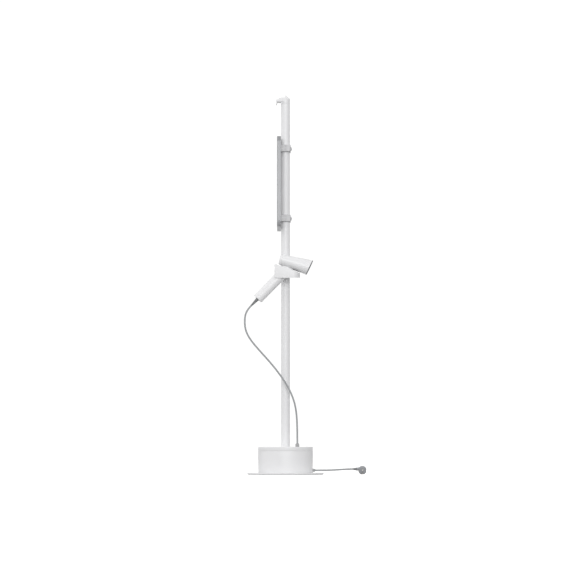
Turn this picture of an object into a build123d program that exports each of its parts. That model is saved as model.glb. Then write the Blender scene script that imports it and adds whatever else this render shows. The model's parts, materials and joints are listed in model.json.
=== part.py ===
"""Floor-standing hair dryer station.

A weighted drum carries a round pole. On the pole sit a coat hook, a narrow mirror that slides and
swivels, and a fork that holds a hand dryer. A cord joins the dryer to the drum, and a short mains
lead runs from the drum to a plug that lies on the floor.

Millimetres, +Z up. The origin is the middle of the floor mat's underside. The user stands on the
-X side, the dryer hangs in front of the pole on the -Y side, and the mains lead leaves towards +X.
"""

from build123d import *
from math import atan2, cos, degrees, pi, radians, sin, tan
import os

# ---------------------------------------------------------------- driving dimensions

# Base
mat_r, mat_t = 172.0, 2.0
plate_r, plate_t = 175.0, 6.0
drum_r, drum_wall = 125.0, 2.0
drum_h = 100.0
lid_h, lid_t, lid_lip, lid_play = 18.0, 3.0, 8.0, 0.2
shell_floor_r = 106.0
socket_bolt_r, socket_bolt_circle_r, bolt_head_r, bolt_head_t = 4.0, 40.0, 6.5, 5.3
drum_screw_r, drum_screw_circle_r, drum_screw_head_r, drum_screw_head_t = 2.0, 115.0, 3.6, 2.4
post_r, post_circle_r, post_thread_r = 5.0, 100.0, 2.5
lid_screw_head_r, lid_screw_head_t, lid_screw_len = 4.75, 2.2, 14.0
hole_play = 0.1
ballast_r, ballast_hole_r, ballast_t = 84.0, 56.0, 24.0
plate_top = mat_t + plate_t
drum_top = plate_top + drum_h
lid_top = drum_top + lid_h

# Pole and what closes its top
pole_r, pole_wall = 20.0, 2.0
pole_top = 1717.0
socket_r, socket_flange_r, socket_flange_t, socket_h = 25.0, 50.0, 8.0, 70.0
socket_top = plate_top + socket_h
fit = 0.08
seam_x = -2.0
hook_reach, hook_tip_z, hook_root_z, hook_under_z = 44.0, 1734.0, 1746.0, 1726.5
hook_lip, hook_lip_t = 12.0, 4.5
hook_screw_y, hook_screw_z, hook_screw_r, hook_screw_head_r = 8.0, 1723.0, 1.95, 3.5
hook_screw_seat_x, hook_screw_head_t, hook_screw_len = -16.0, 2.6, 24.0
cap_shoulder_z, cap_peak_z = 1741.0, 1758.5
plug_in_depth = 22.0

# Mirror and its two clamps
mirror_w, mirror_h, mirror_corner_r = 240.0, 419.0, 30.0
mirror_front_x, mirror_rear_x = -39.0, -21.0
mirror_z = 1341.0
frame_wall, glass_t, glass_recess, backing_t = 3.0, 4.0, 0.8, 4.0
clamp_heights = {"upper": 1506.0, "lower": 1179.0}
clamp_h, clamp_half_w, clamp_rear_x = 30.0, 30.0, 24.0
clamp_split = 0.4
liner_r, liner_flange_r, liner_flange_t, liner_gap = 21.4, 23.5, 2.0, 0.3
clamp_screw_y, screw_r, screw_head_r, screw_head_t, screw_len = 26.0, 2.0, 3.5, 3.0, 30.0
clamp_screw_sink = 5.0
knob_r, knob_thread_r, knob_tip_x = 10.5, 3.0, 30.0

# Dryer: the barrel's rear centre and slope, and the handle's end and slope
dryer_y = -58.0
barrel_tilt, barrel_len = 15.7, 135.0
barrel_rear = (-18.4, dryer_y, 981.7)
barrel_rear_r, barrel_front_r, shell_t = 25.5, 35.7, 2.2
outlet_tilt = 10.0
outlet_ring_t = 3.0
handle_tilt, handle_len = 45.7, 224.0
handle_end = (-127.5, dryer_y, 801.0)
handle_end_r, handle_top_r = 23.6, 24.0
neck_start, neck_half_w = 125.0, 10.0
button_along, button_r, button_proud, button_skirt = 57.0, 5.0, 1.1, 1.2
fan_r, fan_blades = 20.5, 9
motor_r, motor_len = 14.0, 36.0

# Fork that holds the dryer
fork_left_x, fork_right_x, fork_bottom_z = -50.0, 66.0, 896.0
fork_inner, fork_wall = 26.0, 3.5
fork_gap_below_barrel = 4.9
fork_rake = 7.0
fork_floor_t, fork_floor_left_x, fork_floor_bite, fork_floor_lift = 5.0, 12.0, 1.0, 4.5
collar_low_z, collar_high_z, collar_r = 912.0, 938.0, 25.0
collar_ear_w, collar_ear_t, collar_screw_x, collar_block_d = 62.0, 9.0, 27.0, 22.0
fork_screw_zs = (collar_low_z + 5.5, collar_high_z - 5.5)

# Cords
dryer_cord_d, mains_cord_d = 8.0, 7.5
boot_len, boot_big_r, boot_small_r = 42.0, 8.0, 4.6
gland_at = (54.0, -30.0)
gland_r, gland_nose_r, gland_h = 9.0, 5.6, 17.0
gland_hole_r, gland_thread_r, gland_nut_r, gland_nut_t = 6.1, 6.0, 9.0, 5.0
mains_gland_z, mains_gland_r, mains_gland_len = 20.0, 8.0, 12.0

# Mains plug, lying on its rim and on the tip of its lower pin
plug_x, plug_r, plug_depth = 351.0, 19.0, 34.0
pin_r, pin_len, pin_pitch = 2.4, 19.0, 19.0
plug_entry, plug_boot_len, plug_neck_len = 22.0, 18.0, 6.0
plug_lean = degrees(atan2(plug_r - pin_pitch / 2 - pin_r, pin_len))

MIN = (Align.CENTER, Align.CENTER, Align.MIN)


# ---------------------------------------------------------------- helpers

def save(builder, name):
    """Label a finished piece and write it as its own STEP file."""
    builder.part.label = name
    export_step(builder.part, f"parts/{name}.step")


def direction(tilt):
    """Unit vector in the XZ plane, tilt degrees above the X axis."""
    return Vector(cos(radians(tilt)), 0, sin(radians(tilt)))


def turn(plane, outline, mode=Mode.ADD):
    """Revolve an outline of (distance along, radius) points about the plane's own X axis."""
    with BuildSketch(plane) as section:
        with BuildLine():
            Polyline(*outline, close=True)
        make_face()
    revolve(section.sketch, axis=Axis(plane.origin, plane.x_dir), mode=mode)


def axial(origin, along):
    """Plane through a turned piece's axis: X runs along the axis, Y is the radius."""
    side = (0, -1, 0) if abs(along.Y) < 0.5 else (1, 0, 0)
    return Plane(origin=origin, x_dir=along, z_dir=side)


def route_radii(points):
    """Radius of the arc at each inner corner: 0.45 of the shorter run over tan(half the turn)."""
    corners = [Vector(*p) for p in points]
    radii = []
    for a, b, c in zip(corners, corners[1:], corners[2:]):
        half_turn = radians((b - a).get_angle(c - b)) / 2
        radii.append(0.45 * min((b - a).length, (c - b).length) / tan(half_turn))
    return radii


def cord(points, diameter, name):
    """A tube along straight runs joined by tangent arcs, checked against section times length."""
    radii = route_radii(points)
    with BuildPart() as tube:
        with BuildLine() as path:
            FilletPolyline(*points, radius=radii)
        with BuildSketch(path.line ^ 0):
            Circle(diameter / 2)
        sweep(path=path.line)
    length = sum(edge.length for edge in path.edges())
    ratio = tube.part.volume / (pi * diameter**2 / 4 * length)
    print(name, "radii", [round(r) for r in radii])
    print(name, "length", round(length, 1), "volume ratio", round(ratio, 4))
    return tube


os.makedirs("parts", exist_ok=True)

pole_axis_up = Plane(origin=(0, 0, 0), x_dir=(0, 0, 1), z_dir=(0, -1, 0))

# ---------------------------------------------------------------- base

with BuildPart() as floor_mat:
    Cylinder(mat_r, mat_t, align=MIN)
save(floor_mat, "floor_mat")

with BuildPart(Plane.XY.offset(mat_t)) as floor_plate:
    Cylinder(plate_r, plate_t, align=MIN)
    chamfer(floor_plate.edges().filter_by(GeomType.CIRCLE).group_by(Axis.Z)[-1], 1.5)
    with PolarLocations(socket_bolt_circle_r, 4, start_angle=45):
        Cylinder(socket_bolt_r + hole_play, plate_t, align=MIN, mode=Mode.SUBTRACT)
    with PolarLocations(drum_screw_circle_r, 4, start_angle=45):
        Cylinder(drum_screw_r + hole_play, plate_t, align=MIN, mode=Mode.SUBTRACT)
    with PolarLocations(post_circle_r, 3, start_angle=90):
        Cylinder(post_thread_r + hole_play, plate_t, align=MIN, mode=Mode.SUBTRACT)
save(floor_plate, "floor_plate")

with BuildPart(Plane.XY.offset(plate_top)) as ballast_disc:
    Cylinder(ballast_r, ballast_t, align=MIN)
    Cylinder(ballast_hole_r, ballast_t, align=MIN, mode=Mode.SUBTRACT)
    chamfer(ballast_disc.edges().filter_by(GeomType.CIRCLE).group_by(Axis.Z)[-1], 2)
save(ballast_disc, "ballast_disc")

with BuildPart() as pole_socket:
    turn(pole_axis_up, [
        (plate_top, 0),
        (plate_top, socket_flange_r),
        (plate_top + socket_flange_t, socket_flange_r),
        (plate_top + socket_flange_t, socket_r + 5),
        (plate_top + socket_flange_t + 5, socket_r),
        (socket_top, socket_r),
        (socket_top, pole_r + fit),
        (plate_top + socket_flange_t, pole_r + fit),
        (plate_top + socket_flange_t, 0),
    ])
    with BuildSketch(Plane.XY.offset(plate_top)):
        with PolarLocations(socket_bolt_circle_r, 4, start_angle=45):
            Circle(socket_bolt_r + hole_play)
    extrude(amount=socket_flange_t, mode=Mode.SUBTRACT)
save(pole_socket, "pole_socket")

with BuildPart() as socket_bolts:
    with BuildSketch(Plane.XY.offset(plate_top + socket_flange_t)):
        with PolarLocations(socket_bolt_circle_r, 4, start_angle=45):
            RegularPolygon(bolt_head_r, 6, major_radius=False)
    extrude(amount=bolt_head_t)
    with BuildSketch(Plane.XY.offset(mat_t)):
        with PolarLocations(socket_bolt_circle_r, 4, start_angle=45):
            Circle(socket_bolt_r)
    extrude(amount=plate_t + socket_flange_t)
save(socket_bolts, "socket_bolts")

with BuildPart() as drum_shell:
    turn(pole_axis_up, [
        (plate_top, shell_floor_r),
        (plate_top, drum_r),
        (drum_top, drum_r),
        (drum_top, drum_r - drum_wall),
        (plate_top + drum_wall, drum_r - drum_wall),
        (plate_top + drum_wall, shell_floor_r),
    ])
    with BuildSketch(Plane.XY.offset(plate_top)):
        with PolarLocations(drum_screw_circle_r, 4, start_angle=45):
            Circle(drum_screw_r + hole_play)
    extrude(amount=drum_wall, mode=Mode.SUBTRACT)
    with BuildSketch(Plane.YZ.offset(drum_r - 10)):
        with Locations((0, mains_gland_z)):
            Circle(gland_hole_r)
    extrude(amount=20, mode=Mode.SUBTRACT)
save(drum_shell, "drum_shell")

with BuildPart() as drum_screws:
    with BuildSketch(Plane.XY.offset(mat_t)):
        with PolarLocations(drum_screw_circle_r, 4, start_angle=45):
            Circle(drum_screw_r)
    extrude(amount=plate_t + drum_wall)
    with BuildSketch(Plane.XY.offset(plate_top + drum_wall)):
        with PolarLocations(drum_screw_circle_r, 4, start_angle=45):
            Circle(drum_screw_head_r)
    extrude(amount=drum_screw_head_t)
save(drum_screws, "drum_screws")

with BuildPart() as drum_lid:
    turn(pole_axis_up, [
        (drum_top, drum_r),
        (lid_top, drum_r),
        (lid_top, pole_r + 0.4),
        (lid_top - lid_t, pole_r + 0.4),
        (lid_top - lid_t, drum_r - 2 * drum_wall - lid_play),
        (drum_top - lid_lip, drum_r - 2 * drum_wall - lid_play),
        (drum_top - lid_lip, drum_r - drum_wall - lid_play),
        (drum_top, drum_r - drum_wall - lid_play),
    ])
    fillet(drum_lid.edges().filter_by(GeomType.CIRCLE).group_by(Axis.Z)[-1].sort_by(SortBy.RADIUS)[-1], 3)
    with BuildSketch(Plane.XY.offset(lid_top)):
        with Locations(gland_at):
            Circle(gland_hole_r)
        with PolarLocations(post_circle_r, 3, start_angle=90):
            Circle(post_thread_r + lid_play)
    extrude(amount=-lid_t, mode=Mode.SUBTRACT)
    with BuildSketch(Plane.XY.offset(lid_top)):
        with PolarLocations(post_circle_r, 3, start_angle=90):
            Circle(lid_screw_head_r + lid_play)
    extrude(amount=-lid_screw_head_t, taper=45, mode=Mode.SUBTRACT)
save(drum_lid, "drum_lid")

with BuildPart() as lid_posts:
    with BuildSketch(Plane.XY.offset(plate_top)):
        with PolarLocations(post_circle_r, 3, start_angle=90):
            RegularPolygon(post_r, 6, major_radius=False)
            Circle(post_thread_r, mode=Mode.SUBTRACT)
    extrude(amount=lid_top - lid_t - plate_top)
save(lid_posts, "lid_posts")

with BuildPart() as lid_screws:
    with BuildSketch(Plane.XY.offset(lid_top)):
        with PolarLocations(post_circle_r, 3, start_angle=90):
            Circle(post_thread_r - lid_play / 4)
    extrude(amount=-lid_screw_len)
    with BuildSketch(Plane.XY.offset(lid_top)):
        with PolarLocations(post_circle_r, 3, start_angle=90):
            Circle(lid_screw_head_r)
    extrude(amount=-lid_screw_head_t, taper=45)
    with BuildSketch(Plane.XY.offset(lid_top)):
        with PolarLocations(post_circle_r, 3, start_angle=90):
            RegularPolygon(1.7, 6, major_radius=False)
    extrude(amount=-lid_screw_head_t, mode=Mode.SUBTRACT)
save(lid_screws, "lid_screws")

# ---------------------------------------------------------------- wiring inside the drum

box_at = (20.0, 62.0)
box_w, box_d, box_floor_z, box_h, box_wall, cover_t = 62.0, 44.0, 32.0, 40.0, 2.0, 2.5
block_w, block_d, block_h, block_pitch = 46.0, 20.0, 16.0, 15.0

with BuildPart() as terminal_box:
    with BuildSketch(Plane.XY.offset(box_floor_z)):
        with Locations(box_at):
            RectangleRounded(box_w, box_d, 4)
    extrude(amount=box_h)
    with BuildSketch(Plane.XY.offset(box_floor_z + box_wall)):
        with Locations(box_at):
            RectangleRounded(box_w - 2 * box_wall, box_d - 2 * box_wall, 2)
    extrude(amount=box_h, mode=Mode.SUBTRACT)
save(terminal_box, "terminal_box")

with BuildPart() as terminal_box_cover:
    with BuildSketch(Plane.XY.offset(box_floor_z + box_h)):
        with Locations(box_at):
            RectangleRounded(box_w, box_d, 4)
    extrude(amount=cover_t)
    with BuildSketch(Plane.XY.offset(box_floor_z + box_h)):
        with Locations(box_at):
            RectangleRounded(box_w - 2 * box_wall - 0.4, box_d - 2 * box_wall - 0.4, 2)
            RectangleRounded(box_w - 2 * box_wall - 4, box_d - 2 * box_wall - 4, 1, mode=Mode.SUBTRACT)
    extrude(amount=-3)
save(terminal_box_cover, "terminal_box_cover")

with BuildPart() as terminal_block:
    with BuildSketch(Plane.XY.offset(box_floor_z + box_wall)):
        with Locations(box_at):
            Rectangle(block_w, block_d)
    extrude(amount=block_h)
    with BuildSketch(Plane.XY.offset(box_floor_z + box_wall + block_h)):
        with Locations(box_at):
            with GridLocations(block_pitch, block_d / 2, 3, 2):
                Circle(2.6)
    extrude(amount=-block_h / 2, mode=Mode.SUBTRACT)
save(terminal_block, "terminal_block")

inner_stub = 12.0
mains_inner_route = [
    (drum_r - inner_stub, 0, mains_gland_z),
    (104, 0, mains_gland_z),
    (94, 14, 30),
    (86, 34, 46),
    (74, 53, 54),
    (62, 60, 55),
    (box_at[0] + box_w / 2, 60, 55),
]
dryer_inner_route = [
    (*gland_at, lid_top - inner_stub - 2),
    (*gland_at, 97),
    (53, -20, 80),
    (47, 2, 66),
    (40, 22, 60),
    (38, 32, 59),
    (38, box_at[1] - box_d / 2, 59),
]

with BuildPart() as inner_leads:
    for lead_route, lead_d in ((mains_inner_route, mains_cord_d), (dryer_inner_route, dryer_cord_d)):
        with BuildLine() as lead_path:
            FilletPolyline(*lead_route, radius=route_radii(lead_route))
        with BuildSketch(lead_path.line ^ 0):
            Circle(lead_d / 2)
        sweep(path=lead_path.line)
save(inner_leads, "inner_leads")

# ---------------------------------------------------------------- glands

mains_axis = axial((drum_r, 0, mains_gland_z), Vector(1, 0, 0))
lid_gland_axis = axial((*gland_at, lid_top), Vector(0, 0, 1))

with BuildPart() as mains_gland:
    turn(mains_axis, [
        (-inner_stub, 0),
        (-inner_stub, gland_thread_r),
        (0, gland_thread_r),
        (0, mains_gland_r),
        (4, mains_gland_r),
        (5, mains_gland_r - 0.6),
        (mains_gland_len - 3, mains_gland_r - 1),
        (mains_gland_len, gland_nose_r),
        (mains_gland_len, 0),
    ])
save(mains_gland, "mains_gland")

with BuildPart() as dryer_gland:
    turn(lid_gland_axis, [
        (-inner_stub - 2, 0),
        (-inner_stub - 2, gland_thread_r),
        (0, gland_thread_r),
        (0, gland_r),
        (5, gland_r),
        (6, gland_r - 0.8),
        (gland_h - 5, gland_r - 1.2),
        (gland_h, gland_nose_r),
        (gland_h, 0),
    ])
save(dryer_gland, "dryer_gland")

with BuildPart() as gland_nuts:
    with BuildSketch(Plane.YZ.offset(drum_r - drum_wall - 0.8)):
        with Locations((0, mains_gland_z)):
            RegularPolygon(gland_nut_r, 6, major_radius=False)
            Circle(gland_thread_r + 0.05, mode=Mode.SUBTRACT)
    extrude(amount=-gland_nut_t)
    with BuildSketch(Plane.XY.offset(lid_top - lid_t)):
        with Locations(gland_at):
            RegularPolygon(gland_nut_r, 6, major_radius=False)
            Circle(gland_thread_r + 0.05, mode=Mode.SUBTRACT)
    extrude(amount=-gland_nut_t)
save(gland_nuts, "gland_nuts")

# ---------------------------------------------------------------- pole, cap and coat hook

with BuildPart() as pole_tube:
    with BuildSketch(Plane.XY.offset(plate_top + socket_flange_t)):
        Circle(pole_r)
        Circle(pole_r - pole_wall, mode=Mode.SUBTRACT)
    extrude(amount=pole_top - plate_top - socket_flange_t)
save(pole_tube, "pole_tube")

hook_screw_places = [(-hook_screw_y, hook_screw_z), (hook_screw_y, hook_screw_z)]

with BuildPart() as top_cap:
    turn(pole_axis_up, [
        (pole_top - plug_in_depth, 0),
        (pole_top - plug_in_depth, pole_r - pole_wall - 0.1),
        (pole_top, pole_r - pole_wall - 0.1),
        (pole_top, pole_r),
        (cap_shoulder_z, pole_r),
        (cap_peak_z, 2.5),
        (cap_peak_z, 0),
    ])
    with BuildSketch(Plane.XY.offset(pole_top)):
        with Locations((seam_x, 0)):
            Rectangle(2 * pole_r, 3 * pole_r, align=(Align.MAX, Align.CENTER))
    extrude(amount=2 * (cap_peak_z - pole_top), mode=Mode.SUBTRACT)
    with BuildSketch(Plane.YZ.offset(seam_x)):
        with Locations(*hook_screw_places):
            Circle(hook_screw_r + hole_play / 2)
    extrude(amount=hook_screw_len / 2, mode=Mode.SUBTRACT)
save(top_cap, "top_cap")

hook_root_x = -6.0
with BuildPart() as coat_hook:
    with BuildSketch(Plane.XY.offset(pole_top)):
        Circle(pole_r)
        with Locations((seam_x - lid_play, 0)):
            Rectangle(3 * pole_r, 3 * pole_r, align=(Align.MIN, Align.CENTER), mode=Mode.SUBTRACT)
    extrude(amount=hook_root_z - pole_top)
    with BuildSketch(Plane.XZ.offset(-pole_r + 1)):
        with BuildLine():
            Polyline(
                (hook_root_x, hook_under_z),
                (-hook_reach + hook_lip_t, hook_under_z),
                (-hook_reach + hook_lip_t - 1, hook_under_z - hook_lip),
                (-hook_reach, hook_under_z - hook_lip + 1.5),
                (-hook_reach, hook_tip_z),
                (-28, hook_root_z - 3),
                (-17, hook_root_z),
                (hook_root_x, hook_root_z),
                close=True,
            )
        make_face()
    extrude(amount=2 * pole_r - 2)
    with BuildSketch(Plane.YZ.offset(seam_x)):
        with Locations(*hook_screw_places):
            Circle(hook_screw_r + hole_play)
    extrude(amount=-2 * pole_r, mode=Mode.SUBTRACT)
    with BuildSketch(Plane.YZ.offset(hook_screw_seat_x)):
        with Locations(*hook_screw_places):
            Circle(hook_screw_head_r + 3 * hole_play)
    extrude(amount=-2 * pole_r, mode=Mode.SUBTRACT)
save(coat_hook, "coat_hook")

with BuildPart() as hook_screws:
    for screw_y, screw_z in hook_screw_places:
        turn(axial((hook_screw_seat_x, screw_y, screw_z), Vector(1, 0, 0)), [
            (-hook_screw_head_t, 0),
            (-hook_screw_head_t, hook_screw_head_r),
            (0, hook_screw_head_r),
            (0, hook_screw_r),
            (hook_screw_len, hook_screw_r),
            (hook_screw_len, 0),
        ])
save(hook_screws, "hook_screws")

# ---------------------------------------------------------------- mirror

inside_w, inside_h = mirror_w - 2 * frame_wall, mirror_h - 2 * frame_wall
glass_w, glass_h = inside_w - 0.6, inside_h - 0.6
glass_corner_r = mirror_corner_r - frame_wall - 0.3
backing_front_x = mirror_front_x + glass_recess + glass_t

with BuildPart() as mirror_frame:
    with BuildSketch(Plane.YZ.offset(mirror_front_x)):
        with Locations((0, mirror_z)):
            RectangleRounded(mirror_w, mirror_h, mirror_corner_r)
    extrude(amount=mirror_rear_x - mirror_front_x)
    fillet(mirror_frame.faces().sort_by(Axis.X)[0].edges(), 2.2)
    with BuildSketch(Plane.YZ.offset(mirror_front_x)):
        with Locations((0, mirror_z)):
            RectangleRounded(inside_w, inside_h, mirror_corner_r - frame_wall)
    extrude(amount=mirror_rear_x - mirror_front_x, mode=Mode.SUBTRACT)
save(mirror_frame, "mirror_frame")

with BuildPart() as mirror_glass:
    with BuildSketch(Plane.YZ.offset(mirror_front_x + glass_recess)):
        with Locations((0, mirror_z)):
            RectangleRounded(glass_w, glass_h, glass_corner_r)
    extrude(amount=glass_t)
save(mirror_glass, "mirror_glass")

with BuildPart() as mirror_backing:
    with BuildSketch(Plane.YZ.offset(backing_front_x)):
        with Locations((0, mirror_z)):
            RectangleRounded(glass_w, glass_h, glass_corner_r)
    extrude(amount=backing_t)
save(mirror_backing, "mirror_backing")

clamp_front_x = backing_front_x + backing_t

for level, clamp_z in clamp_heights.items():
    clamp_low = Plane.XY.offset(clamp_z - clamp_h / 2)

    with BuildPart() as clamp_liner:
        turn(pole_axis_up, [
            (clamp_z - clamp_h / 2 - liner_gap - liner_flange_t, pole_r + fit),
            (clamp_z - clamp_h / 2 - liner_gap - liner_flange_t, liner_flange_r),
            (clamp_z - clamp_h / 2 - liner_gap, liner_flange_r),
            (clamp_z - clamp_h / 2 - liner_gap, liner_r),
            (clamp_z + clamp_h / 2 + liner_gap, liner_r),
            (clamp_z + clamp_h / 2 + liner_gap, liner_flange_r),
            (clamp_z + clamp_h / 2 + liner_gap + liner_flange_t, liner_flange_r),
            (clamp_z + clamp_h / 2 + liner_gap + liner_flange_t, pole_r + fit),
        ])
    save(clamp_liner, f"{level}_clamp_liner")

    with BuildPart() as clamp_front:
        with BuildSketch(clamp_low):
            with Locations((clamp_front_x, 0)):
                Rectangle(-clamp_front_x - clamp_split, 2 * clamp_half_w, align=(Align.MIN, Align.CENTER))
            Circle(liner_r + fit, mode=Mode.SUBTRACT)
        extrude(amount=clamp_h)
        with BuildSketch(Plane.YZ.offset(-clamp_split)):
            with Locations((-clamp_screw_y, clamp_z), (clamp_screw_y, clamp_z)):
                Circle(screw_r)
        extrude(amount=-14, mode=Mode.SUBTRACT)
        fillet(clamp_front.faces().sort_by(Axis.X)[0].edges().filter_by(Axis.Z), 4)
    save(clamp_front, f"{level}_clamp_front")

    with BuildPart() as clamp_rear:
        with BuildSketch(clamp_low) as clamp_plan:
            with Locations((clamp_split, 0)):
                Rectangle(clamp_rear_x - clamp_split, 2 * clamp_half_w, align=(Align.MIN, Align.CENTER))
            fillet(clamp_plan.vertices().group_by(Axis.X)[-1], 5)
            Circle(liner_r + fit, mode=Mode.SUBTRACT)
        extrude(amount=clamp_h)
        fillet(clamp_rear.faces().sort_by(Axis.X)[-1].edges().filter_by(Axis.Y), 2)
        with BuildSketch(Plane.YZ.offset(clamp_rear_x)):
            with Locations((-clamp_screw_y, clamp_z), (clamp_screw_y, clamp_z)):
                Circle(screw_r + 0.1)
            with Locations((0, clamp_z)):
                Circle(knob_thread_r + fit)
        extrude(amount=-clamp_rear_x, mode=Mode.SUBTRACT)
        with BuildSketch(Plane.YZ.offset(clamp_rear_x)):
            with Locations((-clamp_screw_y, clamp_z), (clamp_screw_y, clamp_z)):
                Circle(screw_head_r + 0.2)
        extrude(amount=-screw_head_t - clamp_screw_sink, mode=Mode.SUBTRACT)
    save(clamp_rear, f"{level}_clamp_rear")

    with BuildPart() as clamp_knob:
        turn(axial((0, 0, clamp_z), Vector(1, 0, 0)), [
            (liner_r + 0.5, 0),
            (liner_r + 0.5, knob_thread_r),
            (clamp_rear_x + 0.4, knob_thread_r),
            (clamp_rear_x + 0.4, knob_r - 0.8),
            (clamp_rear_x + 1.2, knob_r),
            (clamp_rear_x + 2.6, knob_r - 0.6),
            (knob_tip_x - 0.8, 2.4),
            (knob_tip_x, 1.2),
            (knob_tip_x, 0),
        ])
    save(clamp_knob, f"{level}_clamp_knob")

with BuildPart() as clamp_screws:
    for clamp_z in clamp_heights.values():
        for screw_y in (-clamp_screw_y, clamp_screw_y):
            turn(axial((clamp_rear_x - screw_head_t - clamp_screw_sink, screw_y, clamp_z), Vector(1, 0, 0)), [
                (-screw_len, 0),
                (-screw_len, screw_r - 0.05),
                (0, screw_r - 0.05),
                (0, screw_head_r),
                (screw_head_t, screw_head_r),
                (screw_head_t, 0),
            ])
save(clamp_screws, "clamp_screws")

# ---------------------------------------------------------------- dryer barrel

barrel_along = direction(-barrel_tilt)
barrel_axis = axial(barrel_rear, barrel_along)
barrel_start = Plane(origin=barrel_rear, x_dir=(0, 1, 0), z_dir=barrel_along)
handle_along = direction(handle_tilt)
handle_axis = axial(handle_end, handle_along)
handle_start = Plane(origin=handle_end, x_dir=(0, 1, 0), z_dir=handle_along)
outlet_along = direction(-barrel_tilt - outlet_tilt)
outlet_centre = Vector(*barrel_rear) + barrel_along * barrel_len
outlet_cut = Plane(origin=outlet_centre - outlet_along * outlet_ring_t, x_dir=(0, 1, 0), z_dir=outlet_along)
outlet_face = Plane(origin=outlet_centre, x_dir=(0, 1, 0), z_dir=outlet_along)
cut_size = 160.0


def barrel_radius(along):
    """Outer radius of the tapered barrel at a distance from its rear."""
    return barrel_rear_r + (barrel_front_r - barrel_rear_r) * along / barrel_len


def handle_radius(along):
    """Outer radius of the tapered handle at a distance from its end."""
    return handle_end_r + (handle_top_r - handle_end_r) * along / handle_len


overrun = 14.0
barrel_wall = [
    (0, barrel_radius(0) - shell_t),
    (0, barrel_radius(0)),
    (barrel_len + overrun, barrel_radius(barrel_len + overrun)),
    (barrel_len + overrun, barrel_radius(barrel_len + overrun) - shell_t),
]

with BuildPart() as barrel_shell:
    turn(barrel_axis, barrel_wall)
    with BuildSketch(outlet_cut):
        Rectangle(cut_size, cut_size)
    extrude(amount=cut_size, mode=Mode.SUBTRACT)
    with BuildSketch(handle_start.offset(handle_len - 60)):
        Circle(neck_half_w - shell_t - 1)
    extrude(amount=60, mode=Mode.SUBTRACT)
save(barrel_shell, "barrel_shell")

with BuildPart() as outlet_ring:
    turn(barrel_axis, barrel_wall)
    with BuildSketch(outlet_face):
        Rectangle(cut_size, cut_size)
    extrude(amount=cut_size, mode=Mode.SUBTRACT)
    with BuildSketch(outlet_cut):
        Rectangle(cut_size, cut_size)
    extrude(amount=-2 * cut_size, mode=Mode.SUBTRACT)
save(outlet_ring, "outlet_ring")

grille_at, grille_t = 108.0, 2.0
with BuildPart() as outlet_grille:
    with BuildSketch(barrel_start.offset(grille_at)):
        Circle(barrel_radius(grille_at) - shell_t - 0.1)
        for ring_r in (8.0, 14.0, 20.0, 26.0):
            Circle(ring_r + 2, mode=Mode.SUBTRACT)
            Circle(ring_r - 1.6)
        with PolarLocations(14, 6):
            Rectangle(28, 1.6)
    extrude(amount=grille_t)
save(outlet_grille, "outlet_grille")

dome_len, slot_w = 9.0, 3.0
flat_r = barrel_rear_r - dome_len
with BuildPart() as rear_grille:
    with BuildSketch(barrel_axis):
        with BuildLine():
            outer_arc = CenterArc((0, flat_r), dome_len, start_angle=90, arc_size=90)
            inner_arc = CenterArc((0, flat_r), dome_len - shell_t, start_angle=90, arc_size=90)
            Line(outer_arc @ 0, inner_arc @ 0)
            Polyline(outer_arc @ 1, (-dome_len, 0), (-dome_len + shell_t, 0), inner_arc @ 1)
        make_face()
    revolve(axis=Axis(barrel_rear, barrel_along))
    with BuildSketch(barrel_start):
        for slot in range(-2, 3):
            with Locations((slot * 6.0, 0)):
                SlotOverall(34 - 5 * abs(slot), slot_w, rotation=90)
    extrude(amount=-20, mode=Mode.SUBTRACT)
    turn(barrel_axis, [
        (0, barrel_rear_r - shell_t - 2.0),
        (0, barrel_rear_r - shell_t - 0.1),
        (4, barrel_rear_r - shell_t - 0.1),
        (4, barrel_rear_r - shell_t - 2.0),
    ])
    turn(barrel_axis, [
        (-1, barrel_rear_r - shell_t - 2.0),
        (-1, barrel_rear_r - shell_t + 0.2),
        (0, barrel_rear_r - shell_t - 0.1),
        (0, barrel_rear_r - shell_t - 2.0),
    ])
save(rear_grille, "rear_grille")

# ---------------------------------------------------------------- motor, fan and heater

fan_at, fan_len = 7.0, 14.0
motor_at = 24.0
mount_at, mount_len = 34.0, 8.0
shaft_r = 1.5

with BuildPart() as motor:
    turn(barrel_axis, [
        (motor_at, shaft_r + 0.05),
        (motor_at, 4.0),
        (motor_at + 2, 4.0),
        (motor_at + 2, motor_r),
        (motor_at + motor_len, motor_r),
        (motor_at + motor_len, 0),
        (motor_at + 14, 0),
        (motor_at + 14, shaft_r + 0.05),
    ])
save(motor, "motor")

with BuildPart() as motor_mount:
    mount_r = barrel_radius(mount_at) - shell_t - 0.1
    with BuildSketch(barrel_start.offset(mount_at)):
        Circle(mount_r)
        Circle(mount_r - 1.8, mode=Mode.SUBTRACT)
        with PolarLocations(0, 3, start_angle=30):
            with Locations((motor_r, 0)):
                Rectangle(mount_r - motor_r - 0.5, 2.4, align=(Align.MIN, Align.CENTER))
        Circle(motor_r + 1.6)
        Circle(motor_r, mode=Mode.SUBTRACT)
    extrude(amount=mount_len)
save(motor_mount, "motor_mount")

with BuildPart() as fan_wheel:
    turn(barrel_axis, [
        (fan_at, 0),
        (fan_at, 3.0),
        (fan_at + 4, 6.0),
        (fan_at + fan_len, 6.0),
        (fan_at + fan_len, shaft_r),
        (motor_at + 13, shaft_r),
        (motor_at + 13, 0),
    ])
    with BuildSketch(barrel_start.offset(fan_at + 3)):
        with PolarLocations(0, fan_blades):
            with Locations((5.5, 0)):
                Rectangle(fan_r - 5.5, 1.4, rotation=0, align=(Align.MIN, Align.CENTER))
    extrude(amount=fan_len - 4)
save(fan_wheel, "fan_wheel")

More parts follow.
